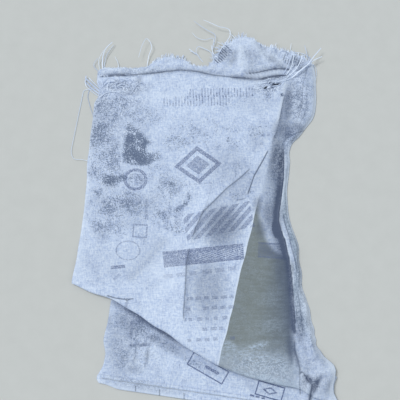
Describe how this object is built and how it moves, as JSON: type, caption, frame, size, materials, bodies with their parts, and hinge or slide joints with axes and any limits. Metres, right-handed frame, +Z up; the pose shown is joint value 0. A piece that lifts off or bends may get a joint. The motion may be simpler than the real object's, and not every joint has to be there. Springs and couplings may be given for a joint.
{
  "type": "empty cement sack",
  "caption": "Empty woven plastic cement sack, torn open at the top and lying flat, with a sewn bottom hem, a cross pleat and a long crease.",
  "frame": {"origin": "on the ground, under the middle of the box around the sack", "axes": "+Z up; the sewn hem runs along X at the -Y end, and the torn mouth is at the +Y end"},
  "size_m": [0.6169, 0.8292, 0.0225],
  "materials": {
    "woven_plastic": "white woven polypropylene tape, dusty, grey and brown with dirt, faded blue-grey print",
    "thread": "dull white sewing thread"
  },
  "bodies": {
    "root": {"woven_sack": "woven_plastic", "hem_thread": "thread"}
  },
  "joints": []
}
